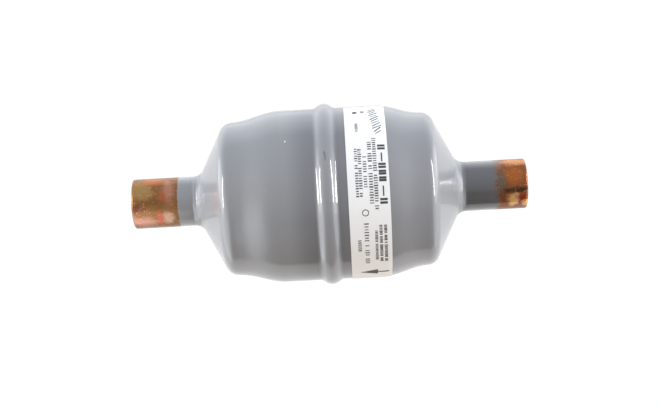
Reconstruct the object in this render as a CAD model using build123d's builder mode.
from build123d import *
import os
from math import atan, cos, degrees, hypot, radians, sin, tan

# A small brazed filter drier: two drawn steel cups, lapped and welded round the middle, with a
# copper solder fitting in each end. Inside, a conical spring pushes a moulded desiccant core
# against the gasket, filter pad, screen and perforated plate at the outlet.
#
# X is the flow axis and +X points out of the inlet. The origin is on that axis, inside the crown
# of the seam weld. +Z is up, and the middle of the label faces forward (-Y) and up.
# Each "..._at" value is a distance from the seam along the axis, towards the piece's own end.

os.makedirs("parts", exist_ok=True)

# ---------------------------------------------------------------- driving dimensions, in mm
overall_length = 100.4     # over both fittings
shell_radius = 22.0        # outside of the cups at the seam
sheet = 1.2                # steel of the cups

# Ends of the cups: an S-shaped step, a slightly drafted end, a rounded shoulder and a cone
inlet_step_at = 12.5       # where the inlet cup starts to step down
outlet_step_at = 11.5
step_end_at = 23.2
shoulder_at = 26.25        # corner of the drafted end and the cone, before it is rounded
shoulder_radius = 19.45
shoulder_bend = 3.3        # outside bend at that corner
end_draft = 5.0            # degrees
cone_angle = 63.0          # degrees between the cone and the axis
collar_length = 3.6        # neck drawn inwards round the fitting
mouth_bend = 0.9           # outside bend from the cone into that neck

# Lapped seam: the outlet cup's lip is pressed in and slides inside the inlet cup
lip_edge = 0.6             # inlet cup's edge, on the outlet side of the seam
press_start = 3.4          # where the outlet cup starts to be pressed in, at the bead's foot
press_end = 1.1
lap_reach = 3.4            # end of the pressed lip, on the inlet side of the seam
lap_clearance = 0.1
weld_height = 1.2
weld_crown_at = -0.3       # the bead leans a little towards the outlet cup
weld_outlet_flank = 2.15   # middles of the bead's flanks, out from the seam
weld_inlet_flank = 1.45
weld_inlet_foot = 2.6
weld_flank_height = 0.58   # of each flank's middle, where it is steepest
weld_flank_angle = 37.0    # degrees there
weld_foot_angle = 8.0      # degrees between a foot and the cup

# Copper fittings, with a socket for 9.53 mm (3/8 in) tube
fitting_radius = 6.35
socket_radius = 4.815
socket_depth = 9.5
bore_radius = 4.0          # behind the stop at the socket's end
stop_chamfer = 0.4
rim_round = 0.55
mouth_chamfer = 0.35
fitting_reach = 0.6        # how far a fitting stands out of the neck, inside the cup
braze_gap = 0.05
braze_leg = 1.9            # fillet of braze metal along the fitting
braze_radius = 8.3         # where that fillet ends on the cone

# Label
label_at = 4.7
label_width = 10.1
label_thickness = 0.1
label_facing_angle = 35.0  # degrees up from -Y, at the label's middle
label_up_angle = 76.0      # degrees round from that middle to the upper end
label_down_angle = 84.0

# Outlet stack: perforated plate, screen, filter pad inside its gasket
plate_sheet = 1.0
plate_clearance = 0.1
plate_rim = 2.9            # flat rim round the drawn middle
plate_dish = 2.6
plate_draw = 1.4           # run of the pan's sloping wall
plate_bend = 0.5
hole_radius = 1.4
hole_pitch = 3.8
hole_rings = 3
cloth_thickness = 0.4
cloth_inset = 0.5          # cloth smaller than the plate
cloth_mesh = 2.7           # mesh drawn open
cloth_wire = 0.8
cloth_rows = 11
pad_thickness = 2.4
pad_radius = 11.6
pad_clearance = 0.1
gasket_inset = 0.2

# Moulded core
core_radius = 16.9
core_length = 38.4
core_draft = 1.0           # degrees
core_edge = 1.5
cavity_radius = 5.4        # at the outlet face
cavity_depth = 25.0
cavity_draft = 2.0         # degrees

# Spring plate and spring, between the core and the inlet neck
spring_plate_radius = 13.2
spring_plate_sheet = 0.9
spring_plate_rim = 2.4
spring_plate_bend = 1.6
spring_plate_ports = 3
port_radius = 1.8
port_circle = 7.4
wire_radius = 0.75
spring_clearance = 0.35    # between the large coil and the plate's rim, and the small and the fitting
spring_turns = 3.0
spring_ground = 0.3        # ground off each end coil

# ---------------------------------------------------------------- worked out from those
half_length = overall_length / 2
draft_slope = tan(radians(end_draft))
cone_slope = tan(radians(cone_angle))
neck_radius = fitting_radius + braze_gap
neck_at = shoulder_at + (shoulder_radius - neck_radius) / cone_slope
collar_at = neck_at - collar_length
lip_radius = shell_radius - sheet - lap_clearance
inner_corner_at = shoulder_at - sheet * (1 / cos(radians(cone_angle)) - 1) / (cone_slope - draft_slope)
inner_bend = shoulder_bend - sheet


def end_radius(at, inset=0.0):
    """Radius of a cup's drafted end, or of its inside."""
    return shoulder_radius - inset + (shoulder_at - at) * draft_slope


def inner_cone_at(radius):
    """Place along the axis where the inside of the cone has this radius."""
    return inner_corner_at + (end_radius(inner_corner_at, sheet) - radius) / cone_slope


# ---------------------------------------------------------------- drawn cups
def drawn_cup(side, step_at, edge_at):
    """One cup, from its open edge to the neck. side is +1 for the inlet and -1 for the outlet."""
    along = (side, 0)
    drafted = (side * cos(radians(end_draft)), -sin(radians(end_draft)))
    with BuildPart() as cup:
        with BuildSketch(Plane.XZ):
            with BuildLine():
                body = Line((side * edge_at, shell_radius), (side * step_at, shell_radius))
                step = Spline(body @ 1, (side * step_end_at, end_radius(step_end_at)),
                              tangents=(along, drafted))
                end = FilletPolyline(
                    step @ 1,
                    (side * shoulder_at, shoulder_radius),
                    (side * neck_at, neck_radius),
                    (side * collar_at, neck_radius),
                    radius=(shoulder_bend, mouth_bend),
                )
                inside = FilletPolyline(
                    (side * collar_at, neck_radius + sheet),
                    (side * inner_cone_at(neck_radius + sheet), neck_radius + sheet),
                    (side * inner_corner_at, end_radius(inner_corner_at, sheet)),
                    (side * step_end_at, end_radius(step_end_at, sheet)),
                    radius=(mouth_bend / 2, inner_bend),
                )
                inner_step = Spline((side * step_at, shell_radius - sheet), inside @ 1,
                                    tangents=(along, drafted))
                Line(end @ 1, inside @ 0)
                Line(inner_step @ 0, (side * edge_at, shell_radius - sheet))
                Line((side * edge_at, shell_radius - sheet), body @ 0)
            make_face()
        revolve(axis=Axis.X)
    return cup.part


inlet_cup = drawn_cup(1, inlet_step_at, -lip_edge)
outlet_cup = drawn_cup(-1, outlet_step_at, press_start)

with BuildPart() as inlet_shell:
    add(inlet_cup)


def pressed_line(high, low):
    """The S-shaped line by which the outlet cup's wall goes down to its lip."""
    return Spline((-press_start, high), (-press_end, low),
                  tangents=((1, 0), (1, 0)))


# The outlet cup's lip is pressed in by a little more than the sheet, so that it slides under the
# inlet cup's edge and backs the weld.
with BuildPart() as outlet_shell:
    add(outlet_cup)
    with BuildSketch(Plane.XZ):
        with BuildLine():
            outside = pressed_line(shell_radius, lip_radius)
            Polyline(outside @ 1, (lap_reach, lip_radius), (lap_reach, lip_radius - sheet),
                     (-press_end, lip_radius - sheet))
            underside = pressed_line(shell_radius - sheet, lip_radius - sheet)
            Line(outside @ 0, underside @ 0)
        make_face()
    revolve(axis=Axis.X)

inlet_shell.part.label = "inlet_shell"
outlet_shell.part.label = "outlet_shell"
export_step(inlet_shell.part, "parts/inlet_shell.step")
export_step(outlet_shell.part, "parts/outlet_shell.step")

# ---------------------------------------------------------------- seam weld
# A convex bead with a hollow foot on each cup. Its root fills the groove between the pressed lip
# and the inlet cup's edge.
def slope(angle):
    return cos(radians(angle)), sin(radians(angle))


with BuildPart() as seam_weld:
    with BuildSketch(Plane.XZ):
        with BuildLine():
            crown = Spline(
                (-press_start, shell_radius),
                (-weld_outlet_flank, shell_radius + weld_flank_height),
                (weld_crown_at, shell_radius + weld_height),
                (weld_inlet_flank, shell_radius + weld_flank_height),
                (weld_inlet_foot, shell_radius),
                tangents=(slope(weld_foot_angle), slope(weld_flank_angle), slope(0),
                          slope(-weld_flank_angle), slope(-weld_foot_angle)),
            )
            root = pressed_line(shell_radius, lip_radius)
            Polyline(root @ 1, (-lip_edge, lip_radius), (-lip_edge, shell_radius), crown @ 1)
        make_face()
    revolve(axis=Axis.X)

seam_weld.part.label = "seam_weld"
export_step(seam_weld.part, "parts/seam_weld.step")


# ---------------------------------------------------------------- copper fittings
def solder_fitting(side):
    """A turned copper sleeve with a stepped bore: socket, stop and the narrower way through."""
    stop_at = half_length - socket_depth
    with BuildPart() as fitting:
        with BuildSketch(Plane.XZ):
            with BuildLine():
                Polyline(
                    (side * (collar_at - fitting_reach), bore_radius),
                    (side * (stop_at - stop_chamfer), bore_radius),
                    (side * stop_at, bore_radius + stop_chamfer),
                    (side * stop_at, socket_radius),
                    (side * (half_length - mouth_chamfer), socket_radius),
                    (side * half_length, socket_radius + mouth_chamfer),
                    (side * half_length, fitting_radius),
                    (side * (collar_at - fitting_reach), fitting_radius),
                    close=True,
                )
            make_face()
        revolve(axis=Axis.X)
        outer_edges = fitting.edges().filter_by(GeomType.CIRCLE).group_by(SortBy.RADIUS)[-1]
        rim = outer_edges.sort_by(Axis.X)[-1 if side > 0 else 0]
        fillet(rim, rim_round)
    return fitting.part


inlet_fitting = solder_fitting(1)
outlet_fitting = solder_fitting(-1)
inlet_fitting.label = "inlet_fitting"
outlet_fitting.label = "outlet_fitting"
export_step(inlet_fitting, "parts/inlet_fitting.step")
export_step(outlet_fitting, "parts/outlet_fitting.step")


# ---------------------------------------------------------------- braze fillets
def braze_fillet(side, cup, fitting):
    """A ring of braze metal, hollow outside, in the corner between the cone and the fitting."""
    toe = (side * (neck_at + braze_leg), fitting_radius)
    top_at = neck_at - (braze_radius - neck_radius) / cone_slope
    root_at = neck_at - mouth_bend * tan(radians(90 - cone_angle / 2))
    with BuildPart() as braze:
        with BuildSketch(Plane.XZ):
            with BuildLine():
                hollow = TangentArc(toe, (side * top_at, braze_radius), tangent=(-side, 0))
                Polyline(
                    hollow @ 1,
                    (side * (top_at - sheet / 2), braze_radius - sheet / 2),
                    (side * root_at, neck_radius + sheet / 2),
                    (side * root_at, fitting_radius),
                    hollow @ 0,
                )
            make_face()
        revolve(axis=Axis.X)
        add(cup, mode=Mode.SUBTRACT)
        add(fitting, mode=Mode.SUBTRACT)
    return braze.part


inlet_braze = braze_fillet(1, inlet_shell.part, inlet_fitting)
outlet_braze = braze_fillet(-1, outlet_shell.part, outlet_fitting)
inlet_braze.label = "inlet_braze"
outlet_braze.label = "outlet_braze"
export_step(inlet_braze, "parts/inlet_braze.step")
export_step(outlet_braze, "parts/outlet_braze.step")

# ---------------------------------------------------------------- label
# A strip stuck round the front of the inlet cup. Its far edge follows the start of the step.
label_start = radians(180 - label_facing_angle - label_up_angle)    # round from +Y towards +Z

with BuildPart() as label:
    with BuildSketch(Plane((0, 0, 0), x_dir=(1, 0, 0),
                           z_dir=(0, -sin(label_start), cos(label_start)))):
        with BuildLine():
            top = Line((label_at, shell_radius + label_thickness),
                       (inlet_step_at, shell_radius + label_thickness))
            Spline(top @ 1, (step_end_at, end_radius(step_end_at) + label_thickness),
                   tangents=((1, 0), (cos(radians(end_draft)), -sin(radians(end_draft)))))
            Polyline((step_end_at, end_radius(step_end_at) + label_thickness),
                     (step_end_at, shoulder_radius - sheet),
                     (label_at, shell_radius - sheet / 2), top @ 0)
        make_face()
        with Locations((label_at + label_width / 2, shell_radius)):
            Rectangle(label_width, sheet, mode=Mode.INTERSECT)
    revolve(axis=Axis.X, revolution_arc=label_up_angle + label_down_angle)
    add(inlet_shell.part, mode=Mode.SUBTRACT)

label.part.label = "label"
export_step(label.part, "parts/label.step")

# ---------------------------------------------------------------- outlet stack
# The plate is pressed home where the cup's shoulder starts to bend inwards. Its middle is a
# shallow pan that stands out towards the outlet, and the cloth, pad and gasket lie against its rim.
plate_back_at = inner_corner_at - inner_bend * tan(radians(cone_angle - end_draft) / 2)
plate_radius = end_radius(plate_back_at, sheet) - plate_clearance
plate_face_at = plate_back_at - plate_sheet
cloth_face_at = plate_face_at - cloth_thickness
core_face_at = cloth_face_at - pad_thickness
pan_radius = plate_radius - plate_rim

with BuildPart() as support_plate:
    with BuildSketch(Plane.XZ):
        with BuildLine():
            back = FilletPolyline(
                (-(plate_back_at + plate_dish), 0),
                (-(plate_back_at + plate_dish), pan_radius - plate_draw),
                (-plate_back_at, pan_radius),
                (-plate_back_at, plate_radius),
                radius=(plate_bend + plate_sheet, plate_bend),
            )
            front = FilletPolyline(
                (-plate_face_at, plate_radius),
                (-plate_face_at, pan_radius),
                (-(plate_face_at + plate_dish), pan_radius - plate_draw),
                (-(plate_face_at + plate_dish), 0),
                radius=(plate_bend + plate_sheet, plate_bend),
            )
            Line(back @ 1, front @ 0)
            Line(front @ 1, back @ 0)
        make_face()
    revolve(axis=Axis.X)
    with BuildSketch(Plane.YZ.offset(-(plate_back_at + plate_dish))):
        Circle(hole_radius)
        for ring in range(1, hole_rings + 1):
            with PolarLocations(ring * hole_pitch, 6 * ring):
                Circle(hole_radius)
    extrude(amount=plate_sheet, mode=Mode.SUBTRACT)

support_plate.part.label = "support_plate"
export_step(support_plate.part, "parts/support_plate.step")

cloth_radius = plate_radius - cloth_inset
cloth_reach = cloth_radius - 2 * cloth_wire
with BuildPart() as outlet_screen:
    with BuildSketch(Plane.YZ.offset(-plate_face_at)):
        Circle(cloth_radius)
        for place in GridLocations(cloth_mesh, cloth_mesh, cloth_rows, cloth_rows).local_locations:
            opening = place.position
            if hypot(abs(opening.X) + cloth_mesh / 2, abs(opening.Y) + cloth_mesh / 2) < cloth_reach:
                with Locations(opening):
                    Rectangle(cloth_mesh - cloth_wire, cloth_mesh - cloth_wire, mode=Mode.SUBTRACT)
    extrude(amount=cloth_thickness)

outlet_screen.part.label = "outlet_screen"
export_step(outlet_screen.part, "parts/outlet_screen.step")

with BuildPart() as filter_pad:
    with BuildSketch(Plane.YZ.offset(-cloth_face_at)):
        Circle(pad_radius)
    extrude(amount=pad_thickness)

filter_pad.part.label = "filter_pad"
export_step(filter_pad.part, "parts/filter_pad.step")

with BuildPart() as core_gasket:
    with BuildSketch(Plane.YZ.offset(-cloth_face_at)):
        Circle(plate_radius - gasket_inset)
        Circle(pad_radius + pad_clearance, mode=Mode.SUBTRACT)
    extrude(amount=pad_thickness)

core_gasket.part.label = "core_gasket"
export_step(core_gasket.part, "parts/core_gasket.step")

# ---------------------------------------------------------------- desiccant core
# Moulded in one block, with draft outside and in its blind cavity. Liquid seeps inwards through
# the block into the cavity, and leaves through the pad.
core_back_at = core_length - core_face_at
core_back_radius = core_radius - core_length * tan(radians(core_draft))
cavity_end_radius = cavity_radius - cavity_depth * tan(radians(cavity_draft))

with BuildPart() as desiccant_core:
    with BuildSketch(Plane.XZ):
        with BuildLine():
            outside = FilletPolyline(
                (-core_face_at, cavity_radius),
                (-core_face_at, core_radius),
                (core_back_at, core_back_radius),
                (core_back_at, 0),
                radius=(core_edge, core_edge),
            )
            blind_end = RadiusArc((cavity_depth - core_face_at, 0),
                                  (cavity_depth - core_face_at - cavity_end_radius, cavity_end_radius),
                                  -cavity_end_radius)
            Line(outside @ 1, blind_end @ 0)
            Line(blind_end @ 1, outside @ 0)
        make_face()
    revolve(axis=Axis.X)

desiccant_core.part.label = "desiccant_core"
export_step(desiccant_core.part, "parts/desiccant_core.step")

# ---------------------------------------------------------------- spring plate
# A pressed dish that spreads the spring's force over the core, with ports for the liquid.
spring_seat_at = core_back_at + spring_plate_sheet

with BuildPart() as spring_plate:
    with BuildSketch(Plane.XZ):
        with BuildLine():
            under = FilletPolyline(
                (core_back_at, 0),
                (core_back_at, spring_plate_radius),
                (core_back_at + spring_plate_rim, spring_plate_radius),
                radius=(spring_plate_bend,),
            )
            over = FilletPolyline(
                (core_back_at + spring_plate_rim, spring_plate_radius - spring_plate_sheet),
                (spring_seat_at, spring_plate_radius - spring_plate_sheet),
                (spring_seat_at, 0),
                radius=(spring_plate_bend - spring_plate_sheet,),
            )
            Line(under @ 1, over @ 0)
            Line(over @ 1, under @ 0)
        make_face()
    revolve(axis=Axis.X)
    with BuildSketch(Plane.YZ.offset(core_back_at)):
        with PolarLocations(port_circle, spring_plate_ports):
            Circle(port_radius)
    extrude(amount=spring_plate_sheet, mode=Mode.SUBTRACT)

spring_plate.part.label = "spring_plate"
export_step(spring_plate.part, "parts/spring_plate.step")

# ---------------------------------------------------------------- core spring
# A conical compression spring with ground ends. The large coil sits in the spring plate, and the
# small one runs round the fitting's inner end and bears on the drawn neck.
large_coil = spring_plate_radius - spring_plate_bend - spring_clearance - wire_radius
small_coil = fitting_radius + spring_clearance + wire_radius
coil_start_at = spring_seat_at + wire_radius - spring_ground
coil_rise = collar_at - spring_seat_at - 2 * (wire_radius - spring_ground)

with BuildPart() as core_spring:
    with BuildLine() as coil:
        Helix(
            pitch=coil_rise / spring_turns,
            height=coil_rise,
            radius=large_coil,
            center=(coil_start_at, 0, 0),
            direction=(1, 0, 0),
            cone_angle=-degrees(atan((large_coil - small_coil) / coil_rise)),
        )
    with BuildSketch(Plane(origin=coil.line @ 0, z_dir=coil.line % 0)):
        Circle(wire_radius)
    sweep(is_frenet=True)
    with BuildSketch(Plane.YZ.offset(spring_seat_at)):
        Circle(spring_plate_radius)
    extrude(amount=collar_at - spring_seat_at, mode=Mode.INTERSECT)

core_spring.part.label = "core_spring"
export_step(core_spring.part, "parts/core_spring.step")
